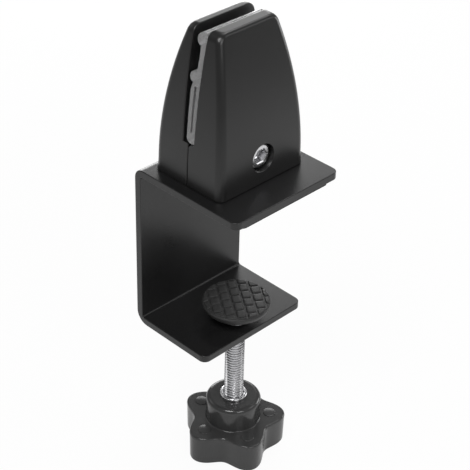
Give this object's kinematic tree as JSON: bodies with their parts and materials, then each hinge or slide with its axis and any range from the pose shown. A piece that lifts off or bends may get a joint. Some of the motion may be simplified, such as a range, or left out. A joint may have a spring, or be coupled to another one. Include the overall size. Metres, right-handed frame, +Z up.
{
  "type": "desk edge panel clamp",
  "caption": "C-shaped steel desk-edge clamp with a split, lined clamping block for an upright panel and a star-knob spindle with a swivel pad.",
  "frame": {"origin": "on the spindle axis, in the plane of the soft pad that rests on the desk top", "axes": "+X towards the open side of the C, over the desk; +Y along the desk edge; +Z up"},
  "size_m": [0.0535, 0.0544, 0.1933],
  "materials": {
    "powder_coat": "black satin powder coat",
    "desk_rubber": "matt black",
    "jaw_plastic": "black satin",
    "clear_silicone": "clear, slightly milky",
    "zinc_steel": "bright zinc plate",
    "spring_steel": "dark oiled",
    "pad_rubber": "matt dark grey with a raised grip pattern",
    "knob_plastic": "gloss black"
  },
  "bodies": {
    "frame": {"bracket": "powder_coat", "desk_pad": "desk_rubber", "base_screws": "zinc_steel", "rear_jaw": "jaw_plastic", "jaw_nut": "zinc_steel", "clinch_nut": "zinc_steel"},
    "front_jaw_body": {"front_jaw": "jaw_plastic", "panel_liner": "clear_silicone"},
    "jaw_screw_body": {"jaw_screw": "zinc_steel"},
    "collar": {"thrust_collar": "zinc_steel"},
    "spindle_body": {"spindle": "zinc_steel", "retaining_ring": "spring_steel", "knob": "knob_plastic", "knob_insert": "zinc_steel"},
    "swivel_pad": {"pad_socket": "zinc_steel", "pad_rubber": "pad_rubber"}
  },
  "joints": [
    {"name": "spindle_travel", "type": "slide", "parent": "frame", "child": "collar", "axis": [0, 0, 1], "range_m": [0, 0.02875]},
    {"name": "spindle_turn", "type": "hinge", "parent": "collar", "child": "spindle_body", "pos_m": [0, 0, -0.08], "axis": [0, 0, 1], "range_deg": [0, 8280]},
    {"name": "pad_swivel", "type": "hinge", "parent": "collar", "child": "swivel_pad", "pos_m": [0, 0, -0.0627], "axis": [0, 1, 0], "range_deg": [-4, 4]},
    {"name": "jaw_slide", "type": "slide", "parent": "frame", "child": "front_jaw_body", "axis": [1, 0, 0], "range_m": [0, 0.003]},
    {"name": "jaw_screw_turn", "type": "hinge", "parent": "front_jaw_body", "child": "jaw_screw_body", "pos_m": [0.004, 0, 0.0152], "axis": [1, 0, 0], "range_deg": [0, 1080]}
  ],
  "couplings": [
    {"joint": "spindle_travel", "follows": "spindle_turn", "m_per_rad": 0.00019894},
    {"joint": "jaw_screw_turn", "follows": "jaw_slide", "rad_per_m": 6283.2}
  ]
}
